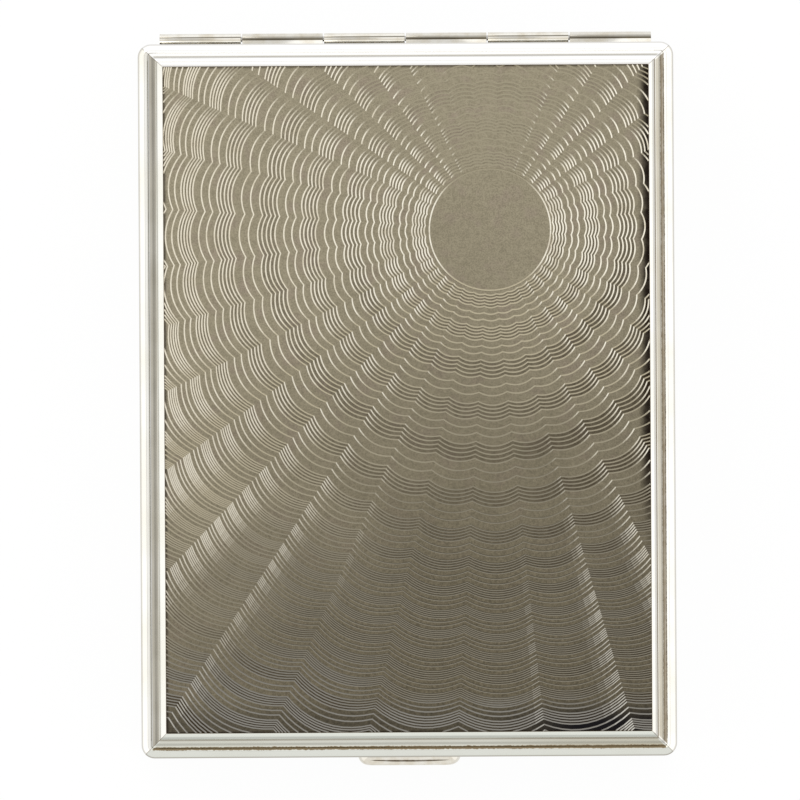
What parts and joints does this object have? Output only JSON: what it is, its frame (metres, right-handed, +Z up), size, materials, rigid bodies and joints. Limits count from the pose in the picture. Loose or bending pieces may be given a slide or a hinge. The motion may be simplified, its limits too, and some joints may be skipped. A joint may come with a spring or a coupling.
{
  "type": "cigarette case",
  "caption": "Slim hinged metal cigarette case with engine-turned plates in moulded polished rims, a rolled hinge, a press catch and a gilt inside with sprung retaining arms.",
  "frame": {"origin": "on the ground under the middle of the closed case, which lies on its back", "axes": "+X to the right seen from above, +Y along the case towards its hinge, +Z up out of the lid"},
  "size_m": [0.075, 0.1029, 0.021],
  "materials": {
    "polished_nickel": "mirror-polished nickel plate",
    "engine_turned_nickel": "satin nickel plate with bright-cut engine-turned lines",
    "gilt": "bright gilt",
    "steel": "bright spring steel"
  },
  "bodies": {
    "base": {"base_frame": "polished_nickel", "base_panel": "engine_turned_nickel", "base_lining": "gilt", "base_hinge_leaf": "polished_nickel", "hinge_pin": "steel", "base_arm_bracket_left": "gilt", "base_arm_bracket_right": "gilt", "base_arm_pin_left": "steel", "base_arm_pin_right": "steel", "base_arm_spring_left": "steel", "base_arm_spring_right": "steel", "catch_bracket": "steel", "catch_spring": "steel", "catch_rivet_left": "steel", "catch_rivet_right": "steel"},
    "button": {"catch_button": "polished_nickel"},
    "lower_arm": {"base_arm": "gilt"},
    "lid": {"lid_frame": "polished_nickel", "lid_panel": "engine_turned_nickel", "lid_lining": "gilt", "lid_hinge_leaf": "polished_nickel", "lid_arm_bracket_left": "gilt", "lid_arm_bracket_right": "gilt", "lid_arm_pin_left": "steel", "lid_arm_pin_right": "steel", "lid_arm_spring_left": "steel", "lid_arm_spring_right": "steel", "catch_keeper": "steel", "keeper_rivet_left": "steel", "keeper_rivet_right": "steel"},
    "upper_arm": {"lid_arm": "gilt"}
  },
  "joints": [
    {"name": "lid_hinge", "type": "hinge", "parent": "base", "child": "lid", "pos_m": [0, 0.05078, 0.0105], "axis": [-1, 0, 0], "range_deg": [0, 180]},
    {"name": "catch_press", "type": "slide", "parent": "base", "child": "button", "axis": [0, 1, 0], "range_m": [0, 0.0009], "stiffness_N_per_m": 300, "springref_m": -0.003, "deforming": ["catch_spring"]},
    {"name": "base_arm_lift", "type": "hinge", "parent": "base", "child": "lower_arm", "pos_m": [0, 0.045, 0.00465], "axis": [-1, 0, 0], "range_deg": [0, 9.9], "stiffness_Nm_per_rad": 0.06, "springref_deg": -28.65, "deforming": ["base_arm_spring_left", "base_arm_spring_right"]},
    {"name": "lid_arm_lift", "type": "hinge", "parent": "lid", "child": "upper_arm", "pos_m": [0, 0.045, 0.01635], "axis": [1, 0, 0], "range_deg": [0, 9.9], "stiffness_Nm_per_rad": 0.06, "springref_deg": -28.65, "deforming": ["lid_arm_spring_left", "lid_arm_spring_right"]}
  ]
}
